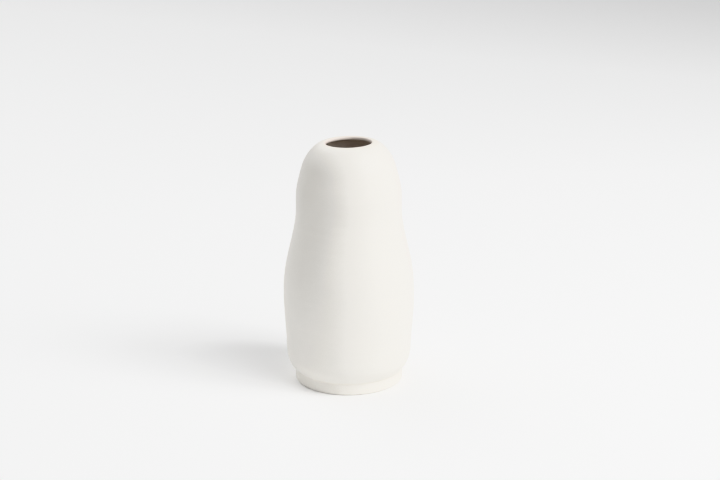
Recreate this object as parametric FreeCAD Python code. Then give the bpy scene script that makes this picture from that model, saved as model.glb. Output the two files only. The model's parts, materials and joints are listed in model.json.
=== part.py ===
import FreeCAD, Part
import math
import os

# Ceramic bud vase, in millimetres. It stands on z = 0, and +Z is the axis it was turned about.
# Every outline point is (radius from the axis, height above the standing surface).

# Driving dimensions of the finished, glazed outside.
HEIGHT = 140.0
MOUTH_RADIUS = 13.0
FOOT_RADIUS = 30.9
FOOT_HEIGHT = 6.7

# Lip: the top edge rolls over into a short straight throat.
LIP_ROUND = 0.9
THROAT_LENGTH = 0.5
LIP_RADIUS = 17.5

# Wall, floor and coats.
GLAZE = 0.4
WALL = 3.6
CEILING_ROUND = 0.4
FLOOR_TOP = 8.0
JOIN_HEIGHT = 98.0

# Foot: a turned standing ring round a shallow recess.
RING_WIDTH = 5.0
FOOT_ROUND = 1.0
RECESS_DEPTH = 3.0
RECESS_CHAMFER = 0.5

# Control points of the outside, from the glaze's edge above the foot up to the crown. The curve
# is a cubic B-spline, so it starts and ends on the first and last points and runs inside the rest.
OUTLINE = [
    (31.1, FOOT_HEIGHT),
    (32.7, 8.6),
    (36.0, 13.0),
    (35.7, 25.0),
    (37.8, 45.0),
    (37.1, 66.0),
    (32.6, 84.0),
    (29.3, 99.0),
    (30.4, 112.0),
    (27.3, 123.0),
    (25.1, 132.5),
    (17.5, HEIGHT),
    (MOUTH_RADIUS + LIP_ROUND, HEIGHT),
]
DEGREE = 3
CROWN_CONTROLS = 2

# The chamber follows the outline from this control up, and runs level for these reaches where it
# meets the ceiling round the throat and the floor.
HEEL_CONTROL = 2
CEILING_REACH = 2.6
FLOOR_REACH = 4.6

# A radius well outside the widest part of the belly, for slicing the clay.
CLEAR_RADIUS = 45.0

# Heights and radii that follow from the dimensions above.
THROAT_TOP = HEIGHT - LIP_ROUND
THROAT_BOTTOM = THROAT_TOP - THROAT_LENGTH
RECESS_RADIUS = FOOT_RADIUS - RING_WIDTH


def at(radius, height):
    """A point of the half section, as a vector."""
    return FreeCAD.Vector(radius, 0.0, height)


def line(start, end):
    """A straight edge between two outline points."""
    return Part.LineSegment(at(*start), at(*end)).toShape()


def arc(centre, radius, start_angle, end_angle):
    """A circular edge about an outline point, angles in degrees from outward, through upward."""
    def on_arc(angle):
        turn = math.radians(angle)
        return at(centre[0] + radius * math.cos(turn), centre[1] + radius * math.sin(turn))

    middle = (start_angle + end_angle) / 2.0
    return Part.Arc(on_arc(start_angle), on_arc(middle), on_arc(end_angle)).toShape()


def smooth(controls):
    """One smooth curve shaped by outline points, tangent to its first and last legs."""
    curve = Part.BSplineCurve()
    curve.buildFromPoles([at(*control) for control in controls], False, DEGREE)
    return curve


def spin(edges):
    """The solid swept when a closed half section turns once about the axis."""
    section = Part.Face(Part.Wire(edges))
    return section.revolve(at(0.0, 0.0), at(0.0, 1.0), 360.0)


def inset_controls(depth):
    """The outline's control points moved into the wall by depth, square to the outside.

    The crown's own controls are left out, because each skin closes over the lip in its own way.
    """
    outside = smooth(OUTLINE)
    knots = outside.KnotSequence
    moved = []
    for index, (radius, height) in enumerate(OUTLINE[:-CROWN_CONTROLS]):
        beside = sum(knots[index + 1:index + 1 + DEGREE]) / DEGREE
        tangent = outside.tangent(beside)[0]
        moved.append((radius - depth * tangent.z, height + depth * tangent.x))
    return moved


def outside_edges(depth):
    """Edges of the outside at depth below the glaze's surface, from the foot to the throat."""
    crown = [(radius, height - depth) for radius, height in OUTLINE[-CROWN_CONTROLS:]]
    curve = smooth(inset_controls(depth) + crown)
    roll = arc((MOUTH_RADIUS + LIP_ROUND, THROAT_TOP), LIP_ROUND - depth, 90.0, 180.0)
    return [curve.toShape(), roll]


def inside_edges(depth):
    """Edges of the chamber from the throat's top down to the floor's centre.

    depth is how far the clay lies below the chamber's surface: nothing on bare clay, and the
    glaze's thickness on the lining.
    """
    throat_radius = MOUTH_RADIUS + GLAZE - depth
    round_radius = CEILING_ROUND + depth
    round_centre = (throat_radius + round_radius, THROAT_BOTTOM)
    ceiling = THROAT_BOTTOM - round_radius
    floor = FLOOR_TOP + depth
    wall = inset_controls(GLAZE + WALL + depth)[HEEL_CONTROL:]
    wall.reverse()
    chamber = (
        [(round_centre[0], ceiling), (round_centre[0] + CEILING_REACH, ceiling)]
        + wall
        + [(RECESS_RADIUS + FLOOR_REACH, floor), (RECESS_RADIUS, floor)]
    )
    return [
        line((throat_radius, THROAT_TOP), (throat_radius, THROAT_BOTTOM)),
        arc(round_centre, round_radius, 180.0, 270.0),
        smooth(chamber).toShape(),
        line((RECESS_RADIUS, floor), (0.0, floor)),
    ]


def foot_edges():
    """Edges of the bare foot from the underside's centre out to the step below the glaze."""
    bearing_inner = RECESS_RADIUS + RECESS_CHAMFER
    bearing_outer = FOOT_RADIUS - FOOT_ROUND
    return [
        line((0.0, RECESS_DEPTH), (RECESS_RADIUS, RECESS_DEPTH)),
        line((RECESS_RADIUS, RECESS_DEPTH), (RECESS_RADIUS, RECESS_CHAMFER)),
        line((RECESS_RADIUS, RECESS_CHAMFER), (bearing_inner, 0.0)),
        line((bearing_inner, 0.0), (bearing_outer, 0.0)),
        arc((bearing_outer, FOOT_ROUND), FOOT_ROUND, -90.0, 0.0),
        line((FOOT_RADIUS, FOOT_ROUND), (FOOT_RADIUS, FOOT_HEIGHT)),
        line((FOOT_RADIUS, FOOT_HEIGHT), inset_controls(GLAZE)[0]),
    ]


def fired_clay():
    """The whole clay body in one piece, as it leaves the kiln."""
    closing = line((0.0, FLOOR_TOP), (0.0, RECESS_DEPTH))
    return spin(foot_edges() + outside_edges(GLAZE) + inside_edges(0.0) + [closing])


def tube(inner_radius, outer_radius, bottom, top):
    """A plain ring about the axis, or a disc when the inner radius is nothing."""
    ring = Part.makeCylinder(outer_radius, top - bottom, at(0.0, bottom))
    if inner_radius > 0.0:
        ring = ring.cut(Part.makeCylinder(inner_radius, top - bottom, at(0.0, bottom)))
    return ring


def foot_ring(clay):
    """The turned ring that the vase stands on."""
    return clay.common(tube(RECESS_RADIUS, FOOT_RADIUS, 0.0, FOOT_HEIGHT))


def base_slab(clay):
    """The floor inside the foot ring."""
    return clay.common(tube(0.0, RECESS_RADIUS, RECESS_DEPTH, FLOOR_TOP))


def lower_wall(clay):
    """The belly, from the top of the foot ring up to the waist."""
    heel = clay.cut(tube(0.0, RECESS_RADIUS, 0.0, FLOOR_TOP))
    return heel.common(tube(0.0, CLEAR_RADIUS, FOOT_HEIGHT, JOIN_HEIGHT))


def upper_wall(clay):
    """The rounded shoulder, from the waist up to the lip."""
    return clay.common(tube(LIP_RADIUS, CLEAR_RADIUS, JOIN_HEIGHT, HEIGHT))


def lip(clay):
    """The ring round the mouth, where the wall thins to the rolled edge."""
    return clay.common(tube(0.0, LIP_RADIUS, JOIN_HEIGHT, HEIGHT))


def outer_glaze():
    """The matt coat over the outside, from the step above the foot to the throat."""
    skin = outside_edges(0.0)
    backing = outside_edges(GLAZE)
    hem = line(OUTLINE[0], inset_controls(GLAZE)[0])
    rim = line((MOUTH_RADIUS, THROAT_TOP), (MOUTH_RADIUS + GLAZE, THROAT_TOP))
    return spin([hem] + backing + [rim] + skin)


def liner_glaze():
    """The lining that makes the chamber hold water."""
    rim = line((MOUTH_RADIUS, THROAT_TOP), (MOUTH_RADIUS + GLAZE, THROAT_TOP))
    centre = line((0.0, FLOOR_TOP), (0.0, FLOOR_TOP + GLAZE))
    return spin([rim] + inside_edges(0.0) + [centre] + inside_edges(GLAZE))


os.makedirs("parts", exist_ok=True)
clay = fired_clay()
nodes = {
    "foot_ring": foot_ring(clay),
    "base_slab": base_slab(clay),
    "lower_wall": lower_wall(clay),
    "upper_wall": upper_wall(clay),
    "lip": lip(clay),
    "outer_glaze": outer_glaze(),
    "liner_glaze": liner_glaze(),
}
for name, shape in nodes.items():
    solid = shape.Solids[0]
    solid.exportStep("parts/" + name + ".step")
    print(name, "valid", solid.isValid(), "of", len(shape.Solids), "mm3", round(solid.Volume, 1))
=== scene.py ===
import json
import math

import bmesh
import bpy
import numpy as np
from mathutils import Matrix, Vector, noise


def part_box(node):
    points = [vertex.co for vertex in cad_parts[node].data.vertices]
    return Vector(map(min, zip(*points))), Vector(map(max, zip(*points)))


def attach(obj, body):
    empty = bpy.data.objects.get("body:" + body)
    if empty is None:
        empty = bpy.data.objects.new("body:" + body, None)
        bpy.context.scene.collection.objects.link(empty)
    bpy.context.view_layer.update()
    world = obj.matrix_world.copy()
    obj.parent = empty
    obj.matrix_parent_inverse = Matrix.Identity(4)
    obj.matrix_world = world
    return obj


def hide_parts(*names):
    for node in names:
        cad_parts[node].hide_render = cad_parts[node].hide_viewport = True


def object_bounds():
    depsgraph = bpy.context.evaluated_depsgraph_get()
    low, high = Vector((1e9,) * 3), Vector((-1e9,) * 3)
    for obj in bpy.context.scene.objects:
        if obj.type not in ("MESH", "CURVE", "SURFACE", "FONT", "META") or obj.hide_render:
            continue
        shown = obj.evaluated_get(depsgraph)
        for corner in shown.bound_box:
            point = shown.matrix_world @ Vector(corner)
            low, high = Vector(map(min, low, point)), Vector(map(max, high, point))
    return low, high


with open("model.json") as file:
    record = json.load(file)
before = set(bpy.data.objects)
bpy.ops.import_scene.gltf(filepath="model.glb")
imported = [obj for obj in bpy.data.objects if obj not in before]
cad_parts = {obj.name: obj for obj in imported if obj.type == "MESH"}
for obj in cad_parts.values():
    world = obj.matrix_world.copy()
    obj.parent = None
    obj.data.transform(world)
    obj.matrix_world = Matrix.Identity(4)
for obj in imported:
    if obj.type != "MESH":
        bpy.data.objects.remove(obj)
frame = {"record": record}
cad_low, cad_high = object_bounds()

# Everything is in metres, in the frame of the CAD part: +Z up the vase's axis, z = 0 the table.
MM = 0.001

# Margins for telling where a point is, and how near two points, or a ring and the axis, are to be
# one point.
TINY = 0.01 * MM
HAIR = 0.001 * MM
TOUCHING = 1e-7

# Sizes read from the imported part.
HEIGHT = cad_high.z
MOUTH_RADIUS = next(
    mount["dims"]["r_mm"] for mount in frame["record"]["mounts"] if mount["name"] == "mouth"
) * MM
FOOT_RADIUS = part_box("foot_ring")[1].x
FOOT_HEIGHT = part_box("foot_ring")[1].z
RECESS_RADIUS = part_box("base_slab")[1].x
RECESS_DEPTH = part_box("base_slab")[0].z
FLOOR_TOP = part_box("base_slab")[1].z
JOIN_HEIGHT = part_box("upper_wall")[0].z
LIP_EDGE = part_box("lip")[1].x
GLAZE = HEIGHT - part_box("lip")[1].z

# The part's own proportions: the wall, the rolled lip, the throat and the foot's edges.
WALL = 3.6 * MM
LIP_ROUND = 0.9 * MM
THROAT_LENGTH = 0.5 * MM
CEILING_ROUND = 0.4 * MM
FOOT_ROUND = 1.0 * MM
RECESS_ROUND = 0.5 * MM
THROAT_TOP = HEIGHT - LIP_ROUND
THROAT_BOTTOM = THROAT_TOP - THROAT_LENGTH
CROWN_RADIUS = MOUTH_RADIUS + LIP_ROUND

# Control points (radius, height) of the glazed outside, from above the foot to the crown.
OUTLINE = np.array([
    (31.1, 6.7),
    (32.7, 8.6),
    (36.0, 13.0),
    (35.7, 25.0),
    (37.8, 45.0),
    (37.1, 66.0),
    (32.6, 84.0),
    (29.3, 99.0),
    (30.4, 112.0),
    (27.3, 123.0),
    (25.1, 132.5),
    (17.5, 140.0),
    (13.9, 140.0),
]) * MM
DEGREE = 3
CROWN_CONTROLS = 2

# The chamber follows the outline from this control up, and runs level for these reaches where it
# meets the ceiling round the throat and the floor.
HEEL_CONTROL = 2
CEILING_REACH = 2.6 * MM
FLOOR_REACH = 4.6 * MM

# How finely the pieces are turned: points round the axis, and steps along the half section.
TURNS_SEEN = 224
TURNS_HIDDEN = 96
STEP_SEEN = 0.45 * MM
STEP_HIDDEN = 2.0 * MM
STEP_FOOT = 0.4 * MM
STEP_BAND = 0.25 * MM
STEP_UNDERSIDE = 0.3 * MM
STEP_EDGE = 0.1 * MM
FEWEST_ON_ARC = 5
SHARP_ANGLE = math.radians(32)

# A spline is worked out at this many places before it is stepped evenly, its direction comes from
# two places this far either side, and it stops just short of 1, where its last span ends.
SPLINE_SAMPLES = 4000
SPLINE_NUDGE = 1e-4
SPLINE_END = 1.0 - 1e-9


# ---------------------------------------------------------------------------------- outlines

def knot_vector(count):
    """Clamped, evenly spaced knots for that many control points."""
    inner = np.linspace(0.0, 1.0, count - DEGREE + 1)
    return np.concatenate([np.zeros(DEGREE), inner, np.ones(DEGREE)])


def share(part, whole):
    """Each part over its whole, and nothing where the whole is nothing."""
    return np.divide(part, whole, out=np.zeros(part.shape), where=whole > 0)


def on_spline(controls, at):
    """Points of the cubic B-spline at the parameters at, by the Cox-de Boor recursion."""
    knots = knot_vector(len(controls))
    at = np.clip(at, 0.0, SPLINE_END)[:, None]
    basis = ((knots[:-1] <= at) & (at < knots[1:])).astype(float)
    for degree in range(1, DEGREE + 1):
        left = knots[degree:-1] - knots[:-degree - 1]
        right = knots[degree + 1:] - knots[1:-degree]
        rise = share(at - knots[:-degree - 1], left)
        fall = share(knots[degree + 1:] - at, right)
        basis = basis[:, :-1] * rise + basis[:, 1:] * fall
    return basis @ controls


def evenly(points, step):
    """The same line with its points about step apart."""
    runs = np.hypot(*np.diff(points, axis=0).T)
    along = np.concatenate([[0.0], np.cumsum(runs)])
    count = max(2, int(round(along[-1] / step)) + 1)
    places = np.linspace(0.0, along[-1], count)
    return np.column_stack([np.interp(places, along, points[:, axis]) for axis in (0, 1)])


def smooth(controls, step):
    """A B-spline through the half section, as points about step apart."""
    return evenly(on_spline(np.asarray(controls), np.linspace(0.0, 1.0, SPLINE_SAMPLES)), step)


def arc(centre, radius, start, end, step):
    """Part of a circle, angles in degrees from outward through upward."""
    length = abs(math.radians(end - start)) * radius
    count = max(FEWEST_ON_ARC, int(length / step) + 2)
    sweep = np.radians(np.linspace(start, end, count))
    around = np.column_stack([np.cos(sweep), np.sin(sweep)])
    return np.array([centre[0], centre[1]]) + radius * around


def line(start, end, step):
    """A straight stretch between two points."""
    return evenly(np.array([start, end], float), step)


def join(*stretches):
    """Stretches end to end, each shared point kept once."""
    kept = [stretches[0]]
    for stretch in stretches[1:]:
        touching = np.allclose(kept[-1][-1], stretch[0], atol=TOUCHING)
        kept.append(stretch[1:] if touching else stretch)
    return np.concatenate(kept)


def inset_controls(depth):
    """The outline's control points below the crown, moved depth into the wall."""
    knots = knot_vector(len(OUTLINE))
    moved = range(len(OUTLINE) - CROWN_CONTROLS)
    beside = np.array([knots[index + 1:index + 1 + DEGREE].mean() for index in moved])
    ahead = on_spline(OUTLINE, beside + SPLINE_NUDGE) - on_spline(OUTLINE, beside - SPLINE_NUDGE)
    ahead /= np.hypot(ahead[:, 0], ahead[:, 1])[:, None]
    return OUTLINE[:-CROWN_CONTROLS] + depth * np.column_stack([-ahead[:, 1], ahead[:, 0]])


def outside(depth, step):
    """The outside at depth below the glaze's surface, from above the foot over the lip."""
    crown = OUTLINE[-CROWN_CONTROLS:] - np.array([0.0, depth])
    wall = smooth(np.vstack([inset_controls(depth), crown]), step)
    roll = arc((CROWN_RADIUS, THROAT_TOP), LIP_ROUND - depth, 90.0, 180.0, step / 2)
    return join(wall, roll)


def inside(depth, step):
    """The chamber from the throat's top to the floor's centre, depth above the bare clay."""
    throat = MOUTH_RADIUS + GLAZE - depth
    round_radius = CEILING_ROUND + depth
    centre = (throat + round_radius, THROAT_BOTTOM)
    ceiling = THROAT_BOTTOM - round_radius
    floor = FLOOR_TOP + depth
    wall = inset_controls(GLAZE + WALL + depth)[HEEL_CONTROL:][::-1]
    chamber = np.vstack([
        [(centre[0], ceiling), (centre[0] + CEILING_REACH, ceiling)],
        wall,
        [(RECESS_RADIUS + FLOOR_REACH, floor), (RECESS_RADIUS, floor)],
    ])
    return join(
        line((throat, THROAT_TOP), (throat, THROAT_BOTTOM), step / 2),
        arc(centre, round_radius, 180.0, 270.0, step / 2),
        smooth(chamber, step),
        line((RECESS_RADIUS, floor), (0.0, floor), step),
    )


def between(points, low, high, axis):
    """The stretch of a line whose radius (axis 0) or height (axis 1) is from low to high."""
    values = points[:, axis]
    order = np.flatnonzero((values > low) & (values < high))
    stretch = points[order[0]:order[-1] + 1]
    ends = []
    for edge, beyond in ((order[0], order[0] - 1), (order[-1], order[-1] + 1)):
        if not 0 <= beyond < len(points):
            ends.append(None)
            continue
        limit = low if values[beyond] <= low else high
        way = (limit - values[edge]) / (values[beyond] - values[edge])
        ends.append(points[edge] + way * (points[beyond] - points[edge]))
    before = [ends[0]] if ends[0] is not None else []
    after = [ends[1]] if ends[1] is not None else []
    return np.vstack(before + [stretch] + after)


# ------------------------------------------------------------------------------- hand finish

# The wall is a little oval and slack, and runs true towards the foot. The slack is read round a
# drum of this radius, so that every layer of the wall moves alike. The mouth leans.
OVALITY = 0.10 * MM
OVAL_HEADING = math.radians(35)
SLACK = 0.10 * MM
SLACK_SCALE = 26 * MM
DRUM_RADIUS = 36 * MM
TRUE_BELOW = 12 * MM
MOUTH_LEAN = math.tan(math.radians(1.2))
LEAN_START = 122 * MM


def by_hand(points):
    """Moves points the little that a hand-finished pot is off true, and keeps layers nested."""
    heading = np.arctan2(points[:, 1], points[:, 0])
    oval = OVALITY * np.cos(2 * (heading - OVAL_HEADING))
    around = [np.cos(heading), np.sin(heading), points[:, 2] / DRUM_RADIUS]
    drum = np.column_stack(around) * DRUM_RADIUS
    slack = np.array([noise.noise(Vector(place / SLACK_SCALE)) for place in drum]) * 2 * SLACK
    settled = np.clip(points[:, 2] / TRUE_BELOW, 0.0, 1.0)
    swell = 1.0 + settled * (oval + slack) / FOOT_RADIUS
    rise = np.clip((points[:, 2] - LEAN_START) / (HEIGHT - LEAN_START), 0.0, 1.0)
    lean = MOUTH_LEAN * rise * rise * (3 - 2 * rise)
    moved = points * np.column_stack([swell, swell, np.ones(len(points))])
    moved[:, 2] += lean * moved[:, 0]
    return moved


def turned_points(section, turns):
    """Points of a turned half section, and each ring's (first point, whether it is on the axis)."""
    headings = np.linspace(0.0, 2 * math.pi, turns, endpoint=False)
    circle = np.column_stack([np.cos(headings), np.sin(headings)])
    rings, places, first = [], [], 0
    for radius, height in section:
        on_axis = radius < TOUCHING
        if on_axis:
            ring = np.array([[0.0, 0.0, height]])
        else:
            ring = np.column_stack([circle * radius, np.full(turns, height)])
        rings.append((first, on_axis))
        places.append(ring)
        first += len(ring)
    return np.concatenate(places), rings


def turned_faces(rings, turns):
    """Faces that join each ring to the next and the last to the first."""
    faces = []
    for row, (start, start_on_axis) in enumerate(rings):
        end, end_on_axis = rings[(row + 1) % len(rings)]
        for step in range(turns):
            onward = (step + 1) % turns
            corners = [
                start if start_on_axis else start + step,
                start if start_on_axis else start + onward,
                end if end_on_axis else end + onward,
                end if end_on_axis else end + step,
            ]
            face = list(dict.fromkeys(corners))
            if len(face) > 2:
                faces.append(face)
    return faces


def turned(name, section, turns, relief=None):
    """A closed mesh made by turning a closed half section about the axis, then settled by hand."""
    points, rings = turned_points(section, turns)
    if relief:
        points = relief(points)
    mesh = bpy.data.meshes.new(name)
    mesh.from_pydata(by_hand(points).tolist(), [], turned_faces(rings, turns))
    working = bmesh.new()
    working.from_mesh(mesh)
    bmesh.ops.recalc_face_normals(working, faces=working.faces)
    working.to_mesh(mesh)
    working.free()
    mesh.polygons.foreach_set("use_smooth", [True] * len(mesh.polygons))
    mesh.set_sharp_from_angle(angle=SHARP_ANGLE)
    piece = bpy.data.objects.new(name, mesh)
    bpy.context.scene.collection.objects.link(piece)
    return piece


def waver(points, scale, seed):
    """Smooth noise from -1 to 1 at each point, on features about scale across."""
    shift = Vector((seed, -seed, 2.0 * seed))
    return np.array([noise.noise(Vector(place) / scale + shift) for place in points]) * 2.0


def patchy(points, scale, seed, middle, swing, least):
    """How far marks show at each point: middle give or take swing, from least to fully."""
    return np.clip(middle + swing * waver(points, scale, seed), least, 1.0)


def outward(points, distance):
    """Points moved away from the axis by a distance each."""
    radius = np.maximum(np.hypot(points[:, 0], points[:, 1]), TOUCHING)
    moved = points.copy()
    moved[:, :2] *= (1.0 + distance / radius)[:, None]
    return moved


# ------------------------------------------------------------------------------------ pieces

# Soft spiral lines from turning, which show in patches.
THROWING_PITCH = 5.2 * MM
THROWING_HEIGHT = 0.022 * MM
THROWING_PATCHES = {"scale": 30 * MM, "seed": 3.0, "middle": 0.55, "swing": 0.6, "least": 0.0}

# The glaze's hem above the foot: a low bead, with an edge that wanders up and down. The wander's
# scale is in radii, because it is read round a circle of radius 1.
BEAD_RISE = 0.4 * MM
BEAD_HEIGHT = 0.03 * MM
BEAD_WIDTH = 0.9 * MM
HEM_WANDER = 0.08 * MM
HEM_SCALE = 0.35
HEM_SEED = 9.0
HEM_REACH = 0.6 * MM

# Finer lines from trimming, on the foot's band and on the underside, which is all above
# UNDERSIDE_LOW and keeps a plain margin next to the ring.
TRIM_PITCH = 1.6 * MM
TRIM_HEIGHT = 0.022 * MM
TRIM_PATCHES = {"scale": 14 * MM, "seed": 5.0, "middle": 0.6, "swing": 1.0, "least": 0.1}
TRIM_MARGIN = 0.1 * MM
UNDERSIDE_LOW = 1.0 * MM

# The lip's clay reaches no further than this below the throat.
LIP_REACH = 4 * MM

# All of the vase is nearer to the axis than this.
FAR_OUT = 1.0


def glaze_relief(skin_rows):
    """Relief of the glaze's face: soft turning lines, a bead at the hem and a wandering hem."""
    def relief(points):
        heading = np.arctan2(points[:, 1], points[:, 0])
        skin = np.arange(len(points)) < skin_rows * TURNS_SEEN
        height = points[:, 2]
        lines = np.sin(2 * math.pi * height / THROWING_PITCH + heading)
        patches = patchy(points, **THROWING_PATCHES)
        bead = np.exp(-((height - FOOT_HEIGHT - BEAD_RISE) / BEAD_WIDTH) ** 2)
        swell = THROWING_HEIGHT * lines * patches * (1.0 - bead) + BEAD_HEIGHT * bead
        moved = outward(points, np.where(skin, swell, 0.0))
        circle = np.column_stack([np.cos(heading), np.sin(heading), np.zeros(len(heading))])
        wander = waver(circle, HEM_SCALE, HEM_SEED)
        near_hem = np.exp(-np.maximum(height - FOOT_HEIGHT, 0.0) / HEM_REACH)
        moved[:, 2] += HEM_WANDER * wander * near_hem
        return moved
    return relief


def trimming_relief(points):
    """Fine spiral lines that the trimming tool leaves on the bare foot and underside."""
    heading = np.arctan2(points[:, 1], points[:, 0])
    radius = np.hypot(points[:, 0], points[:, 1])
    spiral = np.sin(2 * math.pi * (radius + points[:, 2]) / TRIM_PITCH + heading)
    depth = TRIM_HEIGHT * (0.5 + 0.5 * spiral) * patchy(points, **TRIM_PATCHES)
    moved = points.copy()
    under = (points[:, 2] < RECESS_DEPTH + TINY) & (points[:, 2] > UNDERSIDE_LOW)
    moved[:, 2] += np.where(under & (radius < RECESS_RADIUS - TRIM_MARGIN), depth, 0.0)
    band = radius > FOOT_RADIUS - TINY
    return outward(moved, np.where(band, -depth, 0.0))


def glaze_coat():
    """The matt coat over the outside, with a rounded hem above the foot."""
    skin = outside(0.0, STEP_SEEN)
    backing = outside(GLAZE, STEP_SEEN)
    middle = (skin[0] + backing[0]) / 2
    facing = math.degrees(math.atan2(*(skin[0] - backing[0])[::-1]))
    hem = arc(middle, np.hypot(*(skin[0] - middle)), facing + 180.0, facing + 360.0, STEP_EDGE)
    half = len(hem) // 2
    section = join(hem[half:], skin, backing[::-1], hem[:half])
    skin_rows = len(hem) - half + len(skin)
    return turned("glaze_coat", section, TURNS_SEEN, glaze_relief(skin_rows))


def glaze_lining():
    """The lining of the throat, the chamber and the floor."""
    section = join(inside(GLAZE, STEP_SEEN), inside(0.0, STEP_HIDDEN)[::-1])
    return turned("glaze_lining", section, TURNS_SEEN)


def clay_lip():
    """The clay ring round the mouth, under the glaze."""
    over = between(outside(GLAZE, STEP_SEEN), 0.0, LIP_EDGE, 0)
    under = between(inside(0.0, STEP_SEEN), THROAT_BOTTOM - LIP_REACH, HEIGHT, 1)
    under = between(under, 0.0, LIP_EDGE, 0)
    return turned("clay_lip", join(over, under), TURNS_HIDDEN)


def clay_shoulder():
    """The dome's clay, from the waist to the lip."""
    above_waist = [
        between(points, JOIN_HEIGHT, HEIGHT, 1)
        for points in (outside(GLAZE, STEP_HIDDEN), inside(0.0, STEP_HIDDEN))
    ]
    over, under = [between(points, LIP_EDGE, FAR_OUT, 0) for points in above_waist]
    return turned("clay_shoulder", join(over, under), TURNS_HIDDEN)


def clay_belly():
    """The belly's clay, from the foot ring to the waist."""
    over = between(outside(GLAZE, STEP_HIDDEN), 0.0, JOIN_HEIGHT, 1)
    under = between(inside(0.0, STEP_HIDDEN), FLOOR_TOP + HAIR, JOIN_HEIGHT, 1)
    heel = np.array([
        (RECESS_RADIUS, FLOOR_TOP),
        (RECESS_RADIUS, FOOT_HEIGHT),
        (FOOT_RADIUS, FOOT_HEIGHT),
    ])
    return turned("clay_belly", join(over, under, heel), TURNS_HIDDEN)


def clay_floor():
    """The floor slab, with its turned underside."""
    section = join(
        line((0.0, FLOOR_TOP), (RECESS_RADIUS, FLOOR_TOP), STEP_HIDDEN),
        line((RECESS_RADIUS, FLOOR_TOP), (RECESS_RADIUS, RECESS_DEPTH), STEP_HIDDEN),
        line((RECESS_RADIUS, RECESS_DEPTH), (0.0, RECESS_DEPTH), STEP_UNDERSIDE),
    )
    return turned("clay_floor", section, TURNS_SEEN, trimming_relief)


def clay_foot():
    """The bare standing ring, its edges sponged round."""
    outer = FOOT_RADIUS - FOOT_ROUND
    inner = RECESS_RADIUS + RECESS_ROUND
    section = join(
        line((RECESS_RADIUS, FOOT_HEIGHT), (RECESS_RADIUS, RECESS_ROUND), STEP_FOOT),
        arc((inner, RECESS_ROUND), RECESS_ROUND, 180.0, 270.0, STEP_EDGE),
        line((inner, 0.0), (outer, 0.0), STEP_FOOT),
        arc((outer, FOOT_ROUND), FOOT_ROUND, 270.0, 360.0, STEP_EDGE),
        line((FOOT_RADIUS, FOOT_ROUND), (FOOT_RADIUS, FOOT_HEIGHT), STEP_BAND),
        line((FOOT_RADIUS, FOOT_HEIGHT), (RECESS_RADIUS, FOOT_HEIGHT), STEP_HIDDEN),
    )
    return turned("clay_foot", section[:-1], TURNS_SEEN, trimming_relief)


# --------------------------------------------------------------------------------- materials

def node(tree, kind, *links, **values):
    """Adds a node. links are (input, socket) pairs, and values set its fields or inputs."""
    made = tree.nodes.new("ShaderNode" + kind)
    for name, value in values.items():
        if name in made.bl_rna.properties:
            setattr(made, name, value)
        else:
            made.inputs[name.replace("_", " ")].default_value = value
    for name, source in links:
        tree.links.new(source, made.inputs[name])
    return made


def ramp(tree, source, low, high, low_value, high_value):
    """A smooth change from low_value to high_value as source goes from low to high."""
    made = node(
        tree, "MapRange", ("Value", source), interpolation_type="SMOOTHSTEP",
        From_Min=low, From_Max=high, To_Min=low_value, To_Max=high_value,
    )
    return made.outputs["Result"]


def speckle(tree, place, scale, detail=2.0, roughness=0.5):
    """Noise at a scale given as features per metre."""
    made = node(
        tree, "TexNoise", ("Vector", place), Scale=scale, Detail=detail, Roughness=roughness,
    )
    return made.outputs["Fac"]


def shader(name, colour):
    """A new material, with its node tree, its Principled shader and its object coordinates."""
    material = bpy.data.materials.new(name)
    material.use_nodes = True
    material.diffuse_color = (*colour, 1.0)
    tree = material.node_tree
    surface = next(n for n in tree.nodes if n.type == "BSDF_PRINCIPLED")
    surface.inputs["Base Color"].default_value = (*colour, 1.0)
    place = node(tree, "TexCoord").outputs["Object"]
    return material, tree, surface, place


def feed(tree, socket, source):
    """Links an input to another node's output, or sets it to a plain number or colour."""
    if isinstance(source, bpy.types.NodeSocket):
        tree.links.new(source, socket)
    elif socket.type == "RGBA":
        socket.default_value = (*source, 1.0)
    else:
        socket.default_value = source


def mix(tree, factor, first, second, blend_type="MIX"):
    """The first colour turned into the second, or blended with it, as factor goes from 0 to 1."""
    made = tree.nodes.new("ShaderNodeMix")
    made.data_type = "RGBA"
    made.blend_type = blend_type
    colours = [socket for socket in made.inputs if socket.type == "RGBA"]
    for socket, source in zip([made.inputs["Factor"], *colours], (factor, first, second)):
        feed(tree, socket, source)
    return next(socket for socket in made.outputs if socket.type == "RGBA")


def shade(tree, source, band, colours):
    """A colour that runs between two as source crosses the band."""
    return mix(tree, ramp(tree, source, *band, 0.0, 1.0), *colours)


def product(tree, colour, *others):
    """Colours multiplied together."""
    for other in others:
        colour = mix(tree, 1.0, colour, other, "MULTIPLY")
    return colour


def both(tree, first, second, operation="MULTIPLY"):
    """Two numbers brought together by a Math node."""
    return node(tree, "Math", (0, first), (1, second), operation=operation).outputs[0]


def dots(tree, place, cells, edge, patches, rarity, strength):
    """Round dots, one to a cell, that fade out over their edge and come only in some patches."""
    spots = node(tree, "TexVoronoi", ("Vector", place), Scale=cells, feature="F1")
    dot = ramp(tree, spots.outputs["Distance"], *edge, 1.0, 0.0)
    kept = ramp(tree, speckle(tree, place, *patches), *rarity, 0.0, strength)
    return both(tree, dot, kept)


def bump(tree, surface, heights):
    """Lays bumps of (height, (strength, distance)) over each other on a surface."""
    normal = None
    for height, (strength, distance) in heights:
        links = [("Height", height)] + ([("Normal", normal)] if normal else [])
        made = node(tree, "Bump", *links, Strength=strength, Distance=distance)
        normal = made.outputs["Normal"]
    tree.links.new(normal, surface.inputs["Normal"])


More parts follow.
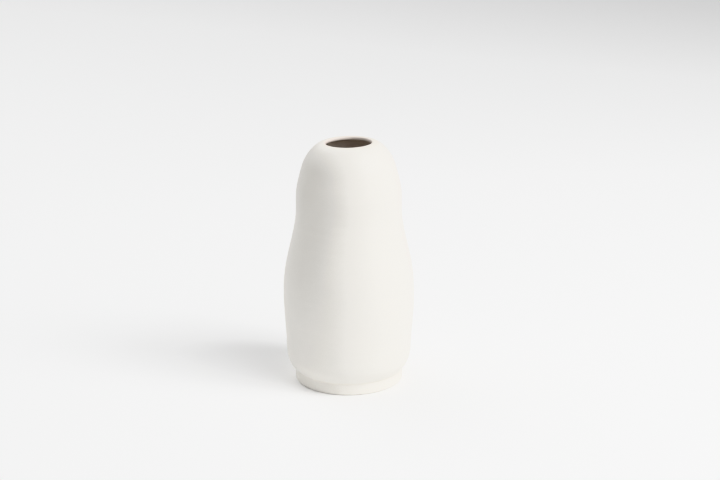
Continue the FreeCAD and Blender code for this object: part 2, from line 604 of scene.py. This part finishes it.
# In the groups below a pair of colours is what a pattern runs between, a NOISE is (features per
# metre, detail, roughness), and a RELIEF is a bump's (strength, distance). A noise is mostly
# between 0.3 and 0.7, so a pattern runs over BROAD or CRISP.
WHITE = (1.0, 1.0, 1.0)
BROAD = (0.3, 0.7)
CRISP = (0.35, 0.65)

# The matt glaze. It is thin, and so warmer, at its hem and on the lip. It is whiter low down:
# partly glaze that ran thicker there, partly painted bounce light from the floor. The lining laps
# over it at the rim.
GLAZE_WHITE = (0.793, 0.775, 0.739)
GLAZE_CLOUDS = ((0.781, 0.764, 0.729), (0.805, 0.786, 0.749))
GLAZE_CLOUD_NOISE = (45.0, 3.0, 0.55)
GLAZE_GRAIN = ((0.975, 0.974, 0.972), WHITE)
GLAZE_GRAIN_NOISE = (2600.0, 1.0)
GLAZE_THIN = (WHITE, (1.012, 0.995, 0.972))
THIN_HEM = 1.6 * MM
THIN_LIP = 0.9 * MM
# Whiter towards the bottom: partly thicker run glaze, partly painted bounce light from the floor.
GLAZE_RUN_AND_BOUNCE = ((1.04, 1.04, 1.035), (0.957, 0.954, 0.948))
RUN_AND_BOUNCE_TOP = 125 * MM
LAP_EDGE = CROWN_RADIUS + 0.3 * MM
PINHOLES = {
    "cells": 420.0, "edge": (0.0, 0.085), "strength": 1.0,
    "patches": (95.0, 1.0), "rarity": (0.60, 0.68),
}
PINHOLE_COLOURS = (WHITE, (0.80, 0.77, 0.72))
PINHOLE_RELIEF = (0.5, 0.03 * MM)
DIMPLE_NOISE = (160.0, 2.0)
DIMPLE_RELIEF = (0.30, 0.10 * MM)
EGGSHELL_NOISE = (900.0, 2.0)
EGGSHELL_RELIEF = (0.35, 0.02 * MM)
GLAZE_ROUGHNESS = (0.50, 0.62)
GLAZE_ROUGHNESS_NOISE = (700.0, 2.0)
GLAZE_SPECULAR = 0.42


def matt_glaze():
    """Matt glaze: eggshell skin with faint clouds, a few pinholes and soft changes by height."""
    material, tree, surface, place = shader("matt_glaze_fine", GLAZE_WHITE)
    height = node(tree, "SeparateXYZ", ("Vector", place)).outputs["Z"]
    across = node(tree, "VectorMath", (0, place), operation="MULTIPLY")
    across.inputs[1].default_value = (1.0, 1.0, 0.0)
    radius = node(tree, "VectorMath", (0, across.outputs[0]), operation="LENGTH").outputs["Value"]
    clouds = speckle(tree, place, *GLAZE_CLOUD_NOISE)
    grain = speckle(tree, place, *GLAZE_GRAIN_NOISE)
    thin_hem = ramp(tree, height, FOOT_HEIGHT, FOOT_HEIGHT + THIN_HEM, 1.0, 0.0)
    thin_lip = ramp(tree, height, HEIGHT - THIN_LIP, HEIGHT, 0.0, 1.0)
    pinholes = mix(tree, dots(tree, place, **PINHOLES), *PINHOLE_COLOURS)
    coat = product(
        tree,
        shade(tree, clouds, BROAD, GLAZE_CLOUDS),
        shade(tree, grain, CRISP, GLAZE_GRAIN),
        mix(tree, both(tree, thin_hem, thin_lip, "MAXIMUM"), *GLAZE_THIN),
        pinholes,
        # Whiter towards the bottom: partly thicker run glaze, partly painted bounce light from the
        # floor.
        shade(tree, height, (FOOT_HEIGHT, RUN_AND_BOUNCE_TOP), GLAZE_RUN_AND_BOUNCE),
    )
    lap = ramp(tree, radius, MOUTH_RADIUS, LAP_EDGE, 1.0, 0.0)
    feed(tree, surface.inputs["Base Color"], mix(tree, lap, coat, LINING_CREAM))
    sheen = ramp(tree, speckle(tree, place, *GLAZE_ROUGHNESS_NOISE), *BROAD, *GLAZE_ROUGHNESS)
    feed(tree, surface.inputs["Roughness"], sheen)
    feed(tree, surface.inputs["Specular IOR Level"], GLAZE_SPECULAR)
    bump(tree, surface, [
        (speckle(tree, place, *DIMPLE_NOISE), DIMPLE_RELIEF),
        (speckle(tree, place, *EGGSHELL_NOISE), EGGSHELL_RELIEF),
        (pinholes, PINHOLE_RELIEF),
    ])
    return material


# The bare clay. Its lowest edge, where it meets the table, is darkened in patches: painted contact
# shadow.
CLAY_WHITE = (0.895, 0.872, 0.824)
CLAY_PATCHES = ((0.885, 0.861, 0.811), (0.908, 0.886, 0.840))
CLAY_PATCH_NOISE = (70.0, 4.0, 0.6)
CLAY_GRAIN = ((0.965, 0.962, 0.955), WHITE)
CLAY_GRAIN_NOISE = (1500.0, 3.0, 0.7)
CLAY_GRAIN_RELIEF = (0.45, 0.04 * MM)
# Painted contact shadow: the darkening of the foot's lowest edge where it meets the table.
CLAY_PAINTED_CONTACT_SHADOW = (WHITE, (0.55, 0.53, 0.50))
CONTACT_SHADOW_HEIGHT = 0.7 * MM
FLECKS = {
    "cells": 900.0, "edge": (0.05, 0.16), "strength": 0.6,
    "patches": (210.0, 1.0), "rarity": (0.56, 0.66),
}
FLECK_COLOURS = (WHITE, (0.66, 0.58, 0.48))
SPONGED_NOISE = (420.0, 3.0, 0.6)
SPONGED_RELIEF = (0.35, 0.08 * MM)
CLAY_ROUGHNESS = (0.80, 0.94)
CLAY_SPECULAR = 0.25


def bare_clay():
    """Fired clay without glaze: dry, finely grained and flecked."""
    material, tree, surface, place = shader("bare_clay_fine", CLAY_WHITE)
    height = node(tree, "SeparateXYZ", ("Vector", place)).outputs["Z"]
    patches = speckle(tree, place, *CLAY_PATCH_NOISE)
    grain = speckle(tree, place, *CLAY_GRAIN_NOISE)
    # Painted contact shadow: the lowest 0.7 mm of the foot darkened in patches.
    contact_shadow = ramp(tree, height, 0.0, CONTACT_SHADOW_HEIGHT, 1.0, 0.0)
    colour = product(
        tree,
        shade(tree, patches, BROAD, CLAY_PATCHES),
        shade(tree, grain, BROAD, CLAY_GRAIN),
        mix(tree, both(tree, contact_shadow, patches), *CLAY_PAINTED_CONTACT_SHADOW),
        mix(tree, dots(tree, place, **FLECKS), *FLECK_COLOURS),
    )
    feed(tree, surface.inputs["Base Color"], colour)
    feed(tree, surface.inputs["Roughness"], ramp(tree, grain, *BROAD, *CLAY_ROUGHNESS))
    feed(tree, surface.inputs["Specular IOR Level"], CLAY_SPECULAR)
    bump(tree, surface, [
        (grain, CLAY_GRAIN_RELIEF),
        (speckle(tree, place, *SPONGED_NOISE), SPONGED_RELIEF),
    ])
    return material


# The lining. Its streaks are drawn out along the height, and it pools darker on the floor.
LINING_CREAM = (0.820, 0.752, 0.697)
LINING_CLOUDS = ((0.801, 0.731, 0.674), (0.839, 0.773, 0.721))
LINING_CLOUD_NOISE = (60.0, 3.0, 0.55)
LINING_STREAKS = ((0.965, 0.960, 0.950), WHITE)
STREAK_STRETCH = (1.0, 1.0, 0.18)
STREAK_NOISE = (240.0, 2.0)
STREAK_RELIEF = (0.25, 0.10 * MM)
LINING_POOL = ((0.90, 0.87, 0.81), WHITE)
POOL_DEPTH = 6 * MM
LINING_SKIN_NOISE = (800.0, 2.0)
LINING_SKIN_RELIEF = (0.2, 0.02 * MM)
LINING_ROUGHNESS = (0.26, 0.38)


def satin_lining():
    """The satin glaze inside, glossier than the outside."""
    material, tree, surface, place = shader("satin_lining_fine", LINING_CREAM)
    height = node(tree, "SeparateXYZ", ("Vector", place)).outputs["Z"]
    clouds = speckle(tree, place, *LINING_CLOUD_NOISE)
    drawn_out = node(tree, "Mapping", ("Vector", place))
    drawn_out.inputs["Scale"].default_value = STREAK_STRETCH
    streaks = speckle(tree, drawn_out.outputs["Vector"], *STREAK_NOISE)
    colour = product(
        tree,
        shade(tree, clouds, BROAD, LINING_CLOUDS),
        shade(tree, streaks, CRISP, LINING_STREAKS),
        shade(tree, height, (FLOOR_TOP, FLOOR_TOP + POOL_DEPTH), LINING_POOL),
    )
    feed(tree, surface.inputs["Base Color"], colour)
    feed(tree, surface.inputs["Roughness"], ramp(tree, clouds, *BROAD, *LINING_ROUGHNESS))
    bump(tree, surface, [
        (streaks, STREAK_RELIEF),
        (speckle(tree, place, *LINING_SKIN_NOISE), LINING_SKIN_RELIEF),
    ])
    return material


# The paper that the vase stands on.
PAPER_WHITE = (0.96, 0.96, 0.96)
PAPER_FIBRES = (tuple(part * 0.995 for part in PAPER_WHITE), PAPER_WHITE)
FIBRE_NOISE = (900.0, 3.0, 0.6)
PAPER_ROUGHNESS = 0.95
PAPER_SPECULAR = 0.1


def paper_floor():
    """Plain white seamless paper."""
    material, tree, surface, place = shader("studio_paper", PAPER_WHITE)
    fibres = speckle(tree, place, *FIBRE_NOISE)
    feed(tree, surface.inputs["Base Color"], mix(tree, fibres, *PAPER_FIBRES))
    feed(tree, surface.inputs["Roughness"], PAPER_ROUGHNESS)
    feed(tree, surface.inputs["Specular IOR Level"], PAPER_SPECULAR)
    return material


# ----------------------------------------------------------------------------------- studio

# The floor's width, the even surround's strength, and the soft lights over the vase.
FLOOR_SPAN = 9.0
SKY = 0.404
LIGHTS = [
    # name, compass heading in degrees from +X, elevation, distance, size, power in watts
    ("key", -35.0, 45.0, 1.2, 0.9, 8.7),
    ("side_key", -20.0, 40.0, 1.2, 0.5, 6.8),
    ("back", 150.0, 50.0, 1.3, 1.2, 5.0),
    ("far_back", 120.0, 35.0, 2.2, 1.8, 11.4),
]

# The camera looks down by its tilt at a point at the aim's height. Both are a little to the right
# of the axis. Its focal length and sensor width are in millimetres, as lenses are sold.
CAMERA_DISTANCE = 0.900
CAMERA_TILT = math.radians(17.4)
CAMERA_FOCAL = 79.12
CAMERA_SENSOR = 36.0
CAMERA_CLIP = 0.01
AIM_HEIGHT = 0.08264
CAMERA_ASIDE = 0.0064


def lay_floor():
    """A plain pale floor much larger than the view."""
    mesh = bpy.data.meshes.new("studio_floor")
    half = FLOOR_SPAN / 2
    corners = [(-half, -half, 0.0), (half, -half, 0.0), (half, half, 0.0), (-half, half, 0.0)]
    mesh.from_pydata(corners, [], [(0, 1, 2, 3)])
    floor = bpy.data.objects.new("studio_floor", mesh)
    bpy.context.scene.collection.objects.link(floor)
    mesh.materials.append(paper_floor())


def hang_light(name, heading, elevation, distance, size, power):
    """A square soft light that faces the middle of the vase."""
    lamp = bpy.data.lights.new(name, "AREA")
    lamp.shape = "SQUARE"
    lamp.size = size
    lamp.energy = power
    light = bpy.data.objects.new(name, lamp)
    bpy.context.scene.collection.objects.link(light)
    turn, climb = math.radians(heading), math.radians(elevation)
    aim = Vector((0.0, 0.0, HEIGHT / 2))
    level = math.cos(climb)
    towards = Vector((math.cos(turn) * level, math.sin(turn) * level, math.sin(climb)))
    light.location = aim + towards * distance
    light.rotation_euler = towards.to_track_quat("Z", "Y").to_euler()


def light_sky():
    """An even white surround."""
    world = bpy.data.worlds.new("studio")
    world.use_nodes = True
    background = world.node_tree.nodes["Background"]
    background.inputs["Color"].default_value = (*WHITE, 1.0)
    background.inputs["Strength"].default_value = SKY
    bpy.context.scene.world = world


def place_camera():
    """The camera, a little above the vase and looking down at it."""
    lens = bpy.data.cameras.new("camera")
    lens.sensor_width = CAMERA_SENSOR
    lens.lens = CAMERA_FOCAL
    lens.clip_start = CAMERA_CLIP
    camera = bpy.data.objects.new("camera", lens)
    bpy.context.scene.collection.objects.link(camera)
    camera.location = (
        CAMERA_ASIDE,
        -CAMERA_DISTANCE * math.cos(CAMERA_TILT),
        AIM_HEIGHT + CAMERA_DISTANCE * math.sin(CAMERA_TILT),
    )
    camera.rotation_euler = (math.pi / 2 - CAMERA_TILT, 0.0, 0.0)
    bpy.context.scene.camera = camera


# --------------------------------------------------------------------------------- assembly

GLAZE_MATERIAL = matt_glaze()
CLAY_MATERIAL = bare_clay()
LINING_MATERIAL = satin_lining()

PIECES = [
    # how it is made, the CAD node it stands for, its material and the record's slot
    (glaze_coat, "outer_glaze", GLAZE_MATERIAL, "matt_glaze"),
    (glaze_lining, "liner_glaze", LINING_MATERIAL, "liner_glaze"),
    (clay_lip, "lip", CLAY_MATERIAL, "bare_clay"),
    (clay_shoulder, "upper_wall", CLAY_MATERIAL, "bare_clay"),
    (clay_belly, "lower_wall", CLAY_MATERIAL, "bare_clay"),
    (clay_floor, "base_slab", CLAY_MATERIAL, "bare_clay"),
    (clay_foot, "foot_ring", CLAY_MATERIAL, "bare_clay"),
]
for make, cad_node, material, slot in PIECES:
    piece = make()
    piece.data.materials.append(material)
    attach(piece, "root")
    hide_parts(cad_node)

lay_floor()
light_sky()
for light in LIGHTS:
    hang_light(*light)
place_camera()
bpy.context.scene.view_settings.view_transform = "Khronos PBR Neutral"
